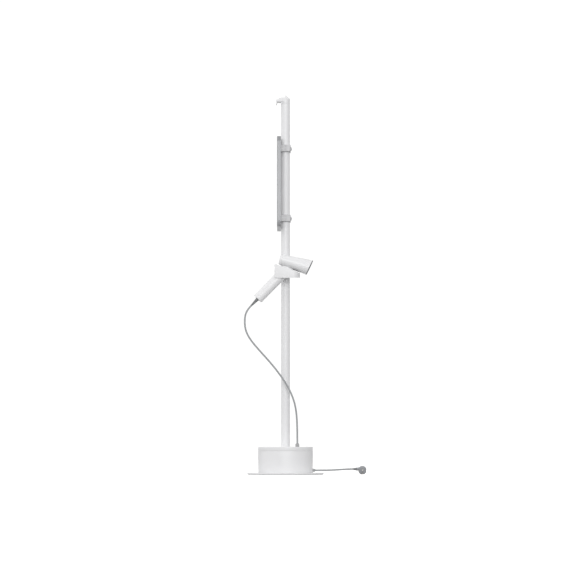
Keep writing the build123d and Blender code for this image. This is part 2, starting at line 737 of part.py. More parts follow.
heater_at, heater_len, card_t = 68.0, 36.0, 1.2
heater_r = barrel_radius(heater_at) - shell_t - 0.3
with BuildPart() as heater_frame:
    with BuildSketch(barrel_start.offset(heater_at)):
        Rectangle(2 * heater_r - 1, card_t)
        Rectangle(card_t, 2 * heater_r - 1)
    extrude(amount=heater_len)
    for turn_at in range(5):
        turn(barrel_axis, [
            (heater_at + 4 + 7 * turn_at, heater_r - 5.2),
            (heater_at + 4 + 7 * turn_at, heater_r - 1.6),
            (heater_at + 6.4 + 7 * turn_at, heater_r - 1.6),
            (heater_at + 6.4 + 7 * turn_at, heater_r - 5.2),
        ], mode=Mode.SUBTRACT)
save(heater_frame, "heater_frame")

with BuildPart() as heater_coils:
    for turn_at in range(5):
        turn(barrel_axis, [
            (heater_at + 4.2 + 7 * turn_at, heater_r - 5),
            (heater_at + 4.2 + 7 * turn_at, heater_r - 3),
            (heater_at + 6.2 + 7 * turn_at, heater_r - 3),
            (heater_at + 6.2 + 7 * turn_at, heater_r - 5),
        ])
save(heater_coils, "heater_coils")

# ---------------------------------------------------------------- dryer handle

handle_cap_t = 3.0
button_face_y = -handle_radius(button_along) - button_proud
button_back_y = -handle_radius(button_along) + shell_t + button_skirt
boss_alongs = (24.0, 120.0)
boss_r, boss_bore_r = 4.0, 1.6
button_at = Vector(*handle_end) + handle_along * button_along

for side_name, side in (("near", -1), ("far", 1)):
    with BuildPart() as handle_half:
        turn(handle_axis, [
            (0, boot_small_r),
            (0, handle_end_r - 1.5),
            (1.5, handle_end_r),
            (neck_start, handle_radius(neck_start)),
            (neck_start, handle_radius(neck_start) - shell_t),
            (handle_cap_t, handle_end_r - shell_t),
            (handle_cap_t, boot_small_r),
        ])
        for inset, mode in ((0, Mode.ADD), (shell_t, Mode.SUBTRACT)):
            with BuildSketch(handle_start.offset(neck_start)):
                Circle(handle_radius(neck_start) - inset)
            with BuildSketch(handle_start.offset(handle_len)):
                Ellipse(neck_half_w - inset, handle_top_r - inset)
            loft(mode=mode)
        for boss_along in boss_alongs:
            boss_plane = Plane(
                origin=Vector(*handle_end) + handle_along * boss_along, x_dir=handle_along, z_dir=(0, side, 0)
            )
            with BuildSketch(boss_plane):
                Circle(boss_r)
            extrude(amount=handle_radius(boss_along) - 1)
        turn(barrel_axis, [
            (-20, 0),
            (-20, barrel_radius(-20) + 0.05),
            (barrel_len + 20, barrel_radius(barrel_len + 20) + 0.05),
            (barrel_len + 20, 0),
        ], mode=Mode.SUBTRACT)
        with BuildSketch(Plane.XZ.offset(-dryer_y)):
            with Locations((handle_end[0], handle_end[2])):
                Rectangle(4 * handle_len, 4 * handle_len)
        extrude(amount=60 * side, mode=Mode.SUBTRACT)
        for boss_along in boss_alongs:
            boss_plane = Plane(
                origin=Vector(*handle_end) + handle_along * boss_along, x_dir=handle_along, z_dir=(0, side, 0)
            )
            with BuildSketch(boss_plane):
                Circle(boss_bore_r)
            extrude(amount=40 if side > 0 else 14, mode=Mode.SUBTRACT)
            if side > 0:
                with BuildSketch(boss_plane.offset(handle_radius(boss_along) - 4)):
                    Circle(3.2)
                extrude(amount=10, mode=Mode.SUBTRACT)
        if side < 0:
            with BuildSketch(Plane(origin=button_at, x_dir=handle_along, z_dir=(0, -1, 0))):
                Circle(button_r + fit)
            extrude(amount=40, mode=Mode.SUBTRACT)
    save(handle_half, f"handle_{side_name}")

with BuildPart() as handle_screws:
    for boss_along in boss_alongs:
        screw_origin = Vector(*handle_end) + handle_along * boss_along
        head_y = handle_radius(boss_along) - 4
        turn(axial(screw_origin, Vector(0, 1, 0)), [
            (-12, 0),
            (-12, boss_bore_r - 0.05),
            (head_y, boss_bore_r - 0.05),
            (head_y, 3.0),
            (head_y + 2.2, 3.0),
            (head_y + 2.2, 0),
        ])
save(handle_screws, "handle_screws")

with BuildPart() as button:
    turn(axial(button_at, Vector(0, 1, 0)), [
        (button_face_y, 0),
        (button_face_y, button_r - 0.8),
        (button_face_y + 0.8, button_r),
        (button_back_y, button_r),
        (button_back_y, 0),
    ])
save(button, "button")

switch_gap = 3.0
switch_front_y = button_back_y + switch_gap
with BuildPart() as switch_body:
    switch_front = button_at + Vector(0, switch_front_y, 0)
    with BuildSketch(Plane(origin=switch_front, x_dir=handle_along, z_dir=(0, 1, 0))):
        Rectangle(20, 12)
    extrude(amount=12)
save(switch_body, "switch_body")

with BuildPart() as button_spring:
    turn(axial(button_at, Vector(0, 1, 0)), [
        (button_back_y, 2.6),
        (button_back_y, 3.4),
        (switch_front_y, 3.4),
        (switch_front_y, 2.6),
    ])
save(button_spring, "button_spring")

with BuildPart() as cord_boot:
    turn(handle_axis, [
        (handle_cap_t + 3, 0),
        (handle_cap_t + 3, boot_small_r + 2.5),
        (handle_cap_t + 0.1, boot_small_r + 2.5),
        (handle_cap_t + 0.1, boot_small_r - 0.1),
        (0, boot_small_r - 0.1),
        (0, boot_big_r),
        (-10, boot_big_r - 0.6),
        (-boot_len, boot_small_r),
        (-boot_len, 0),
    ])
save(cord_boot, "cord_boot")

# ---------------------------------------------------------------- fork on the pole

barrel_under = Vector(*barrel_rear) + direction(-barrel_tilt - 90) * barrel_rear_r
under_slope = tan(radians(barrel_tilt) + atan2(barrel_front_r - barrel_rear_r, barrel_len))


def fork_top(x):
    """Height of the fork's sloped top edge, just below the barrel's underside."""
    return barrel_under.Z - (x - barrel_under.X) * under_slope - fork_gap_below_barrel


fork_outer = fork_inner + fork_wall
fork_front_y, fork_back_y = dryer_y - fork_outer, dryer_y + fork_outer
fork_floor_z = fork_bottom_z + fork_floor_lift
bend_x = fork_right_x - fork_outer
fork_blank_h = 80.0
rake, rake_over = tan(radians(fork_rake)), 10.0


def fork_outline(half_w, left_x):
    """A flat-ended slot outline in plan, rounded at its +X end, from the line left_x."""
    with BuildLine() as outline:
        Line((left_x, dryer_y - half_w), (bend_x, dryer_y - half_w))
        ThreePointArc((bend_x, dryer_y - half_w), (bend_x + half_w, dryer_y), (bend_x, dryer_y + half_w))
        Polyline((bend_x, dryer_y + half_w), (left_x, dryer_y + half_w), (left_x, dryer_y - half_w))
    make_face(outline.edges())


with BuildPart() as holder_fork:
    with BuildSketch(Plane.XY.offset(fork_bottom_z)):
        fork_outline(fork_outer, fork_left_x)
    extrude(amount=fork_blank_h)
    with BuildSketch(Plane.XY.offset(fork_bottom_z)):
        fork_outline(fork_inner, fork_left_x)
    extrude(amount=fork_blank_h, mode=Mode.SUBTRACT)
    with BuildSketch(Plane.XZ.offset(-dryer_y)):
        with BuildLine():
            Polyline(
                (2 * fork_left_x, fork_top(2 * fork_left_x)),
                (2 * fork_right_x, fork_top(2 * fork_right_x)),
                (2 * fork_right_x, barrel_under.Z + fork_blank_h),
                (2 * fork_left_x, barrel_under.Z + fork_blank_h),
                close=True,
            )
        make_face()
    extrude(amount=60, both=True, mode=Mode.SUBTRACT)
    with BuildSketch(Plane.XY.offset(fork_floor_z)):
        fork_outline(fork_inner + fork_floor_bite, fork_floor_left_x)
    extrude(amount=fork_floor_t)
    with BuildSketch(Plane.YZ.offset(2 * fork_right_x)):
        with BuildLine():
            Polyline(
                (fork_front_y - rake_over, fork_bottom_z - rake_over * rake),
                (fork_back_y + rake_over, fork_bottom_z - rake_over * rake),
                (fork_back_y + rake_over, fork_bottom_z + (2 * fork_outer + rake_over) * rake),
                close=True,
            )
        make_face()
    extrude(amount=-4 * fork_right_x, mode=Mode.SUBTRACT)
    with BuildSketch(Plane.XZ.offset(-fork_back_y)):
        with Locations(*[(0, z) for z in fork_screw_zs]):
            Circle(screw_r + hole_play)
    extrude(amount=fork_wall + 1, both=True, mode=Mode.SUBTRACT)
save(holder_fork, "holder_fork")

pad_w, pad_h, pad_len, pad_top_len, pad_gap = 40.0, 9.0, 24.0, 4.0, 0.4
handle_under = Vector(*handle_end) + direction(handle_tilt - 90) * handle_end_r
handle_under_slope = tan(radians(handle_tilt) - atan2(handle_top_r - handle_end_r, handle_len))


def handle_under_x(z):
    """Where the handle's underside lies at a height."""
    return handle_under.X + (z - handle_under.Z) / handle_under_slope


with BuildPart() as holder_pad:
    with BuildSketch(Plane.XZ.offset(-dryer_y)):
        with BuildLine():
            pad_low = fork_floor_z + fork_floor_t
            Polyline(
                (handle_under_x(pad_low) + pad_gap, pad_low),
                (handle_under_x(pad_low) + pad_len, pad_low),
                (handle_under_x(pad_low + pad_h) + pad_gap + pad_top_len, pad_low + pad_h),
                (handle_under_x(pad_low + pad_h) + pad_gap, pad_low + pad_h),
                close=True,
            )
        make_face()
    extrude(amount=pad_w / 2, both=True)
save(holder_pad, "holder_pad")

collar_screw_z = (collar_low_z + collar_high_z) / 2
collar_screw_places = [(-collar_screw_x, collar_screw_z), (collar_screw_x, collar_screw_z)]

with BuildPart() as holder_collar:
    with BuildSketch(Plane.XY.offset(collar_low_z)):
        Circle(collar_r)
        with Locations((0, fork_back_y)):
            Rectangle(2 * collar_r, collar_block_d, align=(Align.CENTER, Align.MIN))
        with Locations((0, -clamp_split)):
            Rectangle(collar_ear_w, collar_ear_t, align=(Align.CENTER, Align.MAX))
        Circle(pole_r + fit, mode=Mode.SUBTRACT)
        with Locations((0, -clamp_split)):
            Rectangle(2 * collar_ear_w, 2 * collar_r, align=(Align.CENTER, Align.MIN), mode=Mode.SUBTRACT)
    extrude(amount=collar_high_z - collar_low_z)
    with BuildSketch(Plane.XZ.offset(-fork_back_y)):
        with Locations(*[(0, z) for z in fork_screw_zs]):
            Circle(screw_r)
    extrude(amount=-7, mode=Mode.SUBTRACT)
    with BuildSketch(Plane.XZ.offset(clamp_split)):
        with Locations(*collar_screw_places):
            Circle(screw_r)
    extrude(amount=12, mode=Mode.SUBTRACT)
save(holder_collar, "holder_collar")

with BuildPart() as holder_clamp:
    with BuildSketch(Plane.XY.offset(collar_low_z)):
        Circle(collar_r)
        with Locations((0, clamp_split)):
            Rectangle(collar_ear_w, collar_ear_t, align=(Align.CENTER, Align.MIN))
        Circle(pole_r + fit, mode=Mode.SUBTRACT)
        with Locations((0, clamp_split)):
            Rectangle(2 * collar_ear_w, 2 * collar_r, align=(Align.CENTER, Align.MAX), mode=Mode.SUBTRACT)
    extrude(amount=collar_high_z - collar_low_z)
    with BuildSketch(Plane.XZ.offset(-clamp_split)):
        with Locations(*collar_screw_places):
            Circle(screw_r + hole_play)
    extrude(amount=-20, mode=Mode.SUBTRACT)
save(holder_clamp, "holder_clamp")

with BuildPart() as holder_screws:
    for screw_z in fork_screw_zs:
        turn(axial((0, fork_back_y - fork_wall, screw_z), Vector(0, 1, 0)), [
            (-2.0, 0),
            (-2.0, 2.0),
            (0, 4.0),
            (0, screw_r - 0.05),
            (fork_wall + 6.5, screw_r - 0.05),
            (fork_wall + 6.5, 0),
        ])
    for screw_x, screw_z in collar_screw_places:
        turn(axial((screw_x, clamp_split + collar_ear_t, screw_z), Vector(0, 1, 0)), [
            (-20, 0),
            (-20, screw_r - 0.05),
            (0, screw_r - 0.05),
            (0, screw_head_r),
            (screw_head_t, screw_head_r),
            (screw_head_t, 0),
        ])
save(holder_screws, "holder_screws")

# ---------------------------------------------------------------- plug, boot and pins

pin_along = Vector(0, -cos(radians(plug_lean)), -sin(radians(plug_lean)))
pin_across = Vector(0, -sin(radians(plug_lean)), cos(radians(plug_lean)))
plug_face_centre = Vector(plug_x, 0, plug_r * cos(radians(plug_lean))) + Vector(
    0, pin_along.Y * plug_entry, 0
)
plug_entry_z = (plug_face_centre - pin_along * plug_entry).Z
plug_axis = Plane(origin=plug_face_centre, x_dir=-pin_along, z_dir=(1, 0, 0))
plug_boot_x = plug_x - plug_r - plug_neck_len

with BuildPart() as plug_body:
    turn(plug_axis, [
        (0, 0),
        (0, plug_r - 1),
        (1, plug_r),
        (13, plug_r),
        (17, plug_r - 1.5),
        (plug_depth - 5, 13),
        (plug_depth - 1, 10),
        (plug_depth, 8),
        (plug_depth, 0),
    ])
    turn(axial((plug_boot_x, 0, plug_entry_z), Vector(1, 0, 0)), [
        (0, 0),
        (0, 7.0),
        (plug_x - plug_boot_x - 8, 8.6),
        (plug_x - plug_boot_x - 8, 0),
    ])
save(plug_body, "plug_body")

with BuildPart() as plug_pins:
    for pin_side in (-1, 1):
        pin_root = plug_face_centre + pin_across * (pin_side * pin_pitch / 2)
        turn(Plane(origin=pin_root, x_dir=pin_along, z_dir=(1, 0, 0)), [
            (0, 0),
            (0, pin_r),
            (pin_len - 1, pin_r),
            (pin_len, pin_r - 0.8),
            (pin_len, 0),
        ])
save(plug_pins, "plug_pins")

with BuildPart() as plug_boot:
    turn(axial((plug_boot_x, 0, plug_entry_z), Vector(-1, 0, 0)), [
        (0, 0),
        (0, 6.6),
        (3, 6.4),
        (plug_boot_len, 4.4),
        (plug_boot_len, 0),
    ])
save(plug_boot, "plug_boot")

# ---------------------------------------------------------------- cords

boot_tip = Vector(*handle_end) - handle_along * boot_len
dryer_route = [
    tuple(boot_tip),
    tuple(boot_tip - handle_along * 34),
    (-188, -57, 701),
    (-183, -56, 655),
    (-160, -55, 613),
    (-121, -53, 567),
    (-75, -51, 517),
    (-34, -50, 467),
    (5, -48, 411),
    (35, -45, 350),
    (50, -40, 288),
    (*gland_at, 205),
    (*gland_at, lid_top + gland_h),
]
save(cord(dryer_route, dryer_cord_d, "dryer_cord"), "dryer_cord")

mains_route = [
    (drum_r + mains_gland_len, 0, mains_gland_z),
    (169, 0, mains_gland_z),
    (212, 1, 20.8),
    (254, 0.5, 23.2),
    (286, 0, plug_entry_z),
    (plug_boot_x - plug_boot_len, 0, plug_entry_z),
]
save(cord(mains_route, mains_cord_d, "mains_cord"), "mains_cord")
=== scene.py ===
import json
from math import atan, cos, pi, radians, sin, tan

import bmesh
import bpy
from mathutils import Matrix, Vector


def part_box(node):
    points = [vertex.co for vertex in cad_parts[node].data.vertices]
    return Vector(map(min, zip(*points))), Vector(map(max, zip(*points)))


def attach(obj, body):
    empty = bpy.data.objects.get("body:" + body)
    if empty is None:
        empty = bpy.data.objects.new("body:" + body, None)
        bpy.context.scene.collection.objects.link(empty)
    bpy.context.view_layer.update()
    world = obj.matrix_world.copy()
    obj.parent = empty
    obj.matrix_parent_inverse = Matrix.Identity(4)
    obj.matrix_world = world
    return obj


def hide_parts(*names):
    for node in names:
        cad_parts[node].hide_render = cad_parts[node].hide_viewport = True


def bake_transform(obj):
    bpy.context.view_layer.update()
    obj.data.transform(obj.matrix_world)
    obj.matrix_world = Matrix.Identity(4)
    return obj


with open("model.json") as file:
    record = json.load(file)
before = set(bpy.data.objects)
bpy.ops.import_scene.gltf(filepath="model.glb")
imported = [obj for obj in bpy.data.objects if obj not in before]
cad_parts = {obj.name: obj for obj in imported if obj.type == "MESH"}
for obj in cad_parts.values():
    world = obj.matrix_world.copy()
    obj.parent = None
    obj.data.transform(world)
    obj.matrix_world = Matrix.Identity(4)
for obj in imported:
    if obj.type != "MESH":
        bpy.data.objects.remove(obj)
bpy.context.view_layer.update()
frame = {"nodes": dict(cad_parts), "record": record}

MM = 0.001

# Driving places and sizes, in metres, in the frame's own axes

# Hand dryer
dryer_y = -58 * MM
barrel_rear, barrel_tilt, barrel_len = Vector((-18.4, -58, 981.7)) * MM, radians(15.7), 135 * MM
barrel_rear_r, barrel_front_r, shell_t = 25.5 * MM, 35.7 * MM, 2.2 * MM
outlet_lean, outlet_ring_t = radians(10), 3 * MM
handle_end, handle_tilt, handle_len = Vector((-127.5, -58, 801)) * MM, radians(45.7), 224 * MM
handle_end_r, handle_top_r, neck_start, neck_half_w = 23.6 * MM, 24 * MM, 125 * MM, 10 * MM
button_along = 57 * MM
boot_len, boot_big_r = 42 * MM, 8 * MM

# Drum and pole
drum_r, drum_wall, drum_flange_w, lid_seam = 125 * MM, 2 * MM, 19 * MM, 0.5 * MM
lid_top_z = 126 * MM
pole_wall = 2 * MM

# Cords and their glands
dryer_cord_d, mains_cord_d = 8 * MM, 7.5 * MM
gland_x, gland_y, gland_h, lid_gland_r = 54 * MM, -30 * MM, 17 * MM, 10.2 * MM
mains_gland_z, mains_gland_len, side_gland_r = 20 * MM, 12 * MM, 8.6 * MM
gland_nose_r, gland_hexagon_t = 5.6 * MM, 4.6 * MM

# Mirror and its knobs
glass_corner_r, glass_bevel_w, glass_bevel_d = 26.7 * MM, 8 * MM, 0.9 * MM
knob_len, knob_grips = 5.6 * MM, 12

# Plug
plug_r, plug_depth, plug_entry = 19 * MM, 34 * MM, 22 * MM
pin_len, pin_pitch, pin_r = 19 * MM, 19 * MM, 2.4 * MM

# Directions
barrel_along = Vector((cos(barrel_tilt), 0, -sin(barrel_tilt)))
barrel_up = Vector((sin(barrel_tilt), 0, cos(barrel_tilt)))
handle_along = Vector((cos(handle_tilt), 0, sin(handle_tilt)))
handle_up = Vector((-sin(handle_tilt), 0, cos(handle_tilt)))
X, Y, Z = Vector((1, 0, 0)), Vector((0, 1, 0)), Vector((0, 0, 1))

# ---------------------------------------------------------------- camera

camera_x, camera_distance, camera_height = -0.0023, 8.4, 0.08
aim_height, focal_mm = 0.871, 115.4
camera = bpy.data.objects.new("camera", bpy.data.cameras.new("camera"))
bpy.context.scene.collection.objects.link(camera)
camera.data.lens = focal_mm
camera.location = (camera_x, -camera_distance, camera_height)
camera.rotation_euler = (pi / 2 + atan((aim_height - camera_height) / camera_distance), 0, 0)
bpy.context.scene.camera = camera


# ---------------------------------------------------------------- mesh helpers

def smooth(mesh, sharp):
    """Shades a mesh smooth, with its edges kept sharp above an angle."""
    mesh.polygons.foreach_set("use_smooth", [True] * len(mesh.polygons))
    mesh.set_sharp_from_angle(angle=sharp)


def new_piece(name, bm, sharp=radians(35)):
    """A smooth-shaded object from a bmesh."""
    bmesh.ops.recalc_face_normals(bm, faces=bm.faces)
    mesh = bpy.data.meshes.new(name)
    bm.to_mesh(mesh)
    bm.free()
    smooth(mesh, sharp)
    piece = bpy.data.objects.new(name, mesh)
    bpy.context.scene.collection.objects.link(piece)
    return piece


def side_axes(along, up):
    """Two unit axes square to a direction and to each other, the second as near to up as it can be."""
    up = up or (X if abs(along.x) < 0.5 else Z)
    across = along.cross(up).normalized()
    return across, across.cross(along).normalized()


def lathe(bm, origin, along, rows, segments=96, lean=0.0, up=None, wave=None):
    """Adds a closed turned solid: rows of (distance along, radius, leaning?) about an axis.

    A leaning row lies in a plane tilted by lean about the horizontal. wave(angle, row) scales a radius.
    A row of radius 0 is a single point.
    """
    across, up = side_axes(along, up)
    rings = []
    for number, row in enumerate(rows):
        s, r = row[0], row[1]
        slope = tan(lean) if len(row) > 2 and row[2] else 0.0
        if r == 0:
            rings.append([bm.verts.new(origin + along * s)])
            continue
        ring = []
        for k in range(segments):
            angle = 2 * pi * k / segments
            radius = r * (wave(angle, number) if wave else 1)
            height = radius * cos(angle)
            ring.append(bm.verts.new(
                origin + along * (s + slope * height) + up * height + across * radius * sin(angle)
            ))
        rings.append(ring)
    pairs = list(zip(rings, rings[1:]))
    if len(rings[0]) > 1 and len(rings[-1]) > 1:
        pairs.append((rings[-1], rings[0]))
    for a, b in pairs:
        for k in range(segments):
            j = (k + 1) % segments
            if len(a) == 1:
                bm.faces.new((a[0], b[j], b[k]))
            elif len(b) == 1:
                bm.faces.new((a[k], a[j], b[0]))
            else:
                bm.faces.new((a[k], a[j], b[j], b[k]))


def turned(name, origin, along, rows, **options):
    """One turned solid as an object."""
    bm = bmesh.new()
    lathe(bm, origin, along, rows, **options)
    return new_piece(name, bm)


def rounded(s, r, radius, start, end, steps=5):
    """Rows round a quarter arc about (s, r), from one angle to another in degrees."""
    angles = [radians(start + (end - start) * k / steps) for k in range(steps + 1)]
    return [(s + radius * cos(a), r + radius * sin(a)) for a in angles]


def grooved_taper(start, length, root_r, tip_r, depth, grooves, land):
    """Rows of a taper cut by ring grooves; land is the share of each pitch that stays whole."""
    rows = []
    for k in range(grooves):
        for share, cut in ((0.0, 0), (land, 0), (land + 0.1, 1), (0.9, 1)):
            t = (k + share) / grooves
            rows.append((start + length * t, root_r + (tip_r - root_r) * t - depth * cut))
    return rows


def prism(bm, origin, along, corners, depth, up=None):
    """Adds a straight prism on a flat outline of (across, up) corners."""
    across, up = side_axes(along, up)
    ends = [
        [bm.verts.new(origin + along * s + across * x + up * z) for x, z in corners] for s in (0, depth)
    ]
    bm.faces.new(ends[0])
    bm.faces.new(ends[1])
    for k in range(len(corners)):
        j = (k + 1) % len(corners)
        bm.faces.new((ends[0][k], ends[0][j], ends[1][j], ends[1][k]))


def soften(piece, width, segments=3):
    """Rounds a piece's hard edges with an applied bevel."""
    bevel = piece.modifiers.new("bevel", "BEVEL")
    bevel.width = width
    bevel.segments = segments
    bevel.limit_method = "ANGLE"
    bevel.angle_limit = radians(30)
    bevel.use_clamp_overlap = True
    graph = bpy.context.evaluated_depsgraph_get()
    mesh = bpy.data.meshes.new_from_object(piece.evaluated_get(graph))
    piece.modifiers.clear()
    piece.data = mesh
    smooth(mesh, radians(40))
    return piece


def softened_copy(node, width, segments=3):
    """A copy of a CAD node with its tessellation merged and its hard edges rounded."""
    bm = bmesh.new()
    bm.from_mesh(frame["nodes"][node].data)
    bmesh.ops.remove_doubles(bm, verts=bm.verts, dist=1e-6)
    bmesh.ops.dissolve_limit(bm, angle_limit=radians(0.5), verts=bm.verts, edges=bm.edges)
    return soften(new_piece(node + "_shape", bm), width, segments)


def centre_line(name, route):
    """A NURBS spline through the air near a given route, as a curve object."""
    curve = bpy.data.curves.new(name, "CURVE")
    curve.dimensions = "3D"
    spline = curve.splines.new("NURBS")
    spline.points.add(len(route) - 1)
    for point, at in zip(spline.points, route):
        point.co = (*at, 1)
    spline.order_u = 3
    spline.use_endpoint_u = True
    spline.resolution_u = 16
    curve_object = bpy.data.objects.new(name, curve)
    bpy.context.scene.collection.objects.link(curve_object)
    return curve_object


def line_points(curve_object):
    """The points that a curve without bevel passes through."""
    graph = bpy.context.evaluated_depsgraph_get()
    mesh = bpy.data.meshes.new_from_object(curve_object.evaluated_get(graph))
    points = [v.co.copy() for v in mesh.vertices]
    bpy.data.meshes.remove(mesh)
    return points


def path_length(path):
    """The length of a line through a list of points."""
    return sum((b - a).length for a, b in zip(path, path[1:]))


def tube(name, path, radius, segments=20):
    """A round tube along a list of points, with flat ends."""
    bm = bmesh.new()
    rings = []
    side = Y.copy()
    for k, centre in enumerate(path):
        tangent = (path[min(k + 1, len(path) - 1)] - path[max(k - 1, 0)]).normalized()
        side = (side - tangent * side.dot(tangent)).normalized()
        other = tangent.cross(side)
        ring = [
            bm.verts.new(centre + (side * cos(a) + other * sin(a)) * radius)
            for a in (2 * pi * j / segments for j in range(segments))
        ]
        rings.append(ring)
    for a, b in zip(rings, rings[1:]):
        for j in range(segments):
            i = (j + 1) % segments
            bm.faces.new((a[j], a[i], b[i], b[j]))
    bm.faces.new(rings[0])
    bm.faces.new(rings[-1])
    return new_piece(name, bm)


# ---------------------------------------------------------------- materials

def shade(name, color, roughness, metallic=0.0, grain=900.0, bump=0.08, tint=0.03, wear=0.04, coat=0.0,
          stretch=(1, 1, 1)):
    """A moulded, painted or drawn surface: slow drift in colour, fine grain in bump and roughness."""
    material = bpy.data.materials.new(name)
    material.use_nodes = True
    nodes, links = material.node_tree.nodes, material.node_tree.links
    shader = nodes["Principled BSDF"]
    shader.inputs["Metallic"].default_value = metallic
    shader.inputs["Coat Weight"].default_value = coat
    shader.inputs["Coat Roughness"].default_value = 0.25
    coordinates = nodes.new("ShaderNodeTexCoord")
    scaled = nodes.new("ShaderNodeMapping")
    scaled.inputs["Scale"].default_value = stretch
    links.new(coordinates.outputs["Object"], scaled.inputs["Vector"])

    drift = nodes.new("ShaderNodeTexNoise")
    drift.inputs["Scale"].default_value = 14
    drift.inputs["Detail"].default_value = 4
    links.new(coordinates.outputs["Object"], drift.inputs["Vector"])
    ramp = nodes.new("ShaderNodeValToRGB")
    ramp.color_ramp.elements[0].position = 0.3
    ramp.color_ramp.elements[1].position = 0.7
    ramp.color_ramp.elements[0].color = (*[c * (1 - tint) for c in color], 1)
    ramp.color_ramp.elements[1].color = (*[min(1, c * (1 + tint)) for c in color], 1)
    links.new(drift.outputs["Fac"], ramp.inputs["Fac"])
    links.new(ramp.outputs["Color"], shader.inputs["Base Color"])

    fine = nodes.new("ShaderNodeTexNoise")
    fine.inputs["Scale"].default_value = grain
    fine.inputs["Detail"].default_value = 3
    links.new(scaled.outputs["Vector"], fine.inputs["Vector"])
    rough = nodes.new("ShaderNodeMapRange")
    rough.inputs["To Min"].default_value = max(0.02, roughness - wear)
    rough.inputs["To Max"].default_value = min(1, roughness + wear)
    links.new(fine.outputs["Fac"], rough.inputs["Value"])
    links.new(rough.outputs["Result"], shader.inputs["Roughness"])
    surface = nodes.new("ShaderNodeBump")
    surface.inputs["Strength"].default_value = bump
    surface.inputs["Distance"].default_value = 0.0004
    links.new(fine.outputs["Fac"], surface.inputs["Height"])
    links.new(surface.outputs["Normal"], shader.inputs["Normal"])
    return material


slot_materials = {
    "white_metal": shade("white_powder_coat", (0.80, 0.80, 0.81), 0.42, grain=1400, bump=0.12, tint=0.012),
    "mat_rubber": shade("mat_rubber", (0.60, 0.605, 0.61), 0.75, grain=600, bump=0.3),
    "ballast_iron": shade("ballast_iron", (0.13, 0.13, 0.14), 0.6, 0.4, grain=300, bump=0.5, tint=0.1),
    "socket_steel": shade("socket_steel", (0.55, 0.56, 0.58), 0.35, 1.0, grain=700, bump=0.1),
    "screw_steel": shade("screw_steel", (0.62, 0.63, 0.65), 0.3, 1.0, grain=800, bump=0.1),
    "box_plastic": shade("box_plastic", (0.58, 0.59, 0.60), 0.5, grain=900, bump=0.15),
    "cord_grey": shade("cord_pvc", (0.33, 0.34, 0.35), 0.48, grain=1200, bump=0.12, tint=0.05),
    "gland_grey": shade("gland_nylon", (0.37, 0.375, 0.38), 0.45, grain=1000, bump=0.12),
    "dryer_white": shade("dryer_plastic", (0.81, 0.81, 0.82), 0.34, grain=1800, bump=0.06, tint=0.01,
                         coat=0.15),
    "fork_white": shade("fork_plastic", (0.78, 0.78, 0.79), 0.40, grain=1500, bump=0.08, tint=0.01),
    "dark_grey": shade("dark_plastic", (0.20, 0.205, 0.21), 0.45, grain=1100, bump=0.12, tint=0.06),
    "plug_grey": shade("plug_pvc", (0.34, 0.35, 0.37), 0.46, grain=1100, bump=0.12, tint=0.04),
    "pin_metal": shade("nickel_plate", (0.70, 0.68, 0.63), 0.22, 1.0, grain=900, bump=0.04),
    "frame_aluminium": shade("anodised_aluminium", (0.285, 0.29, 0.30), 0.42, 0.3, grain=500, bump=0.08,
                             stretch=(1, 1, 0.03)),
    "mirror_silver": shade("mirror_glass", (0.90, 0.92, 0.92), 0.03, 1.0, grain=40, bump=0.0, tint=0.004,
                           wear=0.005),
    "backing_grey": shade("backing_board", (0.74, 0.74, 0.75), 0.6, grain=400, bump=0.2),
    "clamp_silver": shade("clamp_plastic", (0.59, 0.59, 0.60), 0.42, grain=1300, bump=0.1, tint=0.02),
    "liner_grey": shade("liner_acetal", (0.60, 0.60, 0.61), 0.4, grain=900, bump=0.08),
    "motor_steel": shade("motor_can", (0.50, 0.51, 0.53), 0.35, 1.0, grain=700, bump=0.1),
    "mount_plastic": shade("mount_plastic", (0.13, 0.13, 0.14), 0.5, grain=900, bump=0.12),
    "mica": shade("mica_card", (0.55, 0.48, 0.38), 0.55, grain=200, bump=0.2, tint=0.12),
    "coil_wire": shade("coil_wire", (0.42, 0.40, 0.38), 0.4, 1.0, grain=900, bump=0.1),
}
node_slot = {part["node"]: part["material_slot"] for part in frame["record"]["subparts"]}


def dress(piece, slot):
    """Gives a piece the material of a slot."""
    piece.data.materials.clear()
    piece.data.materials.append(slot_materials[slot])


for node_name, node in frame["nodes"].items():
    dress(node, node_slot[node_name])


def place(piece, body, slot, *nodes):
    """A new piece takes its slot's finish, stands for its CAD nodes and rides on a body."""
    dress(piece, slot)
    if nodes:
        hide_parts(*nodes)
    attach(piece, body)
    return piece


# ---------------------------------------------------------------- cords

# Each route is a list of given points, and the cord's line is one smooth spline near them
boot_tip = handle_end - handle_along * boot_len
exit_run = 34 * MM
dryer_route = [
    boot_tip,
    boot_tip - handle_along * exit_run,
    Vector((-0.188, -0.057, 0.701)),
    Vector((-0.183, -0.056, 0.655)),
    Vector((-0.160, -0.055, 0.613)),
    Vector((-0.121, -0.053, 0.567)),
    Vector((-0.075, -0.051, 0.517)),
    Vector((-0.034, -0.050, 0.467)),
    Vector((0.005, -0.048, 0.411)),
    Vector((0.035, -0.045, 0.350)),
    Vector((0.050, -0.040, 0.288)),
    Vector((gland_x, gland_y, 0.205)),
    Vector((gland_x, gland_y, lid_top_z + gland_h)),
]
dryer_line = centre_line("dryer_cord_line", dryer_route)
dryer_path = line_points(dryer_line)
bpy.data.objects.remove(dryer_line)
dryer_cord = tube("dryer_cord_tube", dryer_path, dryer_cord_d / 2)
dress(dryer_cord, "cord_grey")
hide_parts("dryer_cord")
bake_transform(dryer_cord)

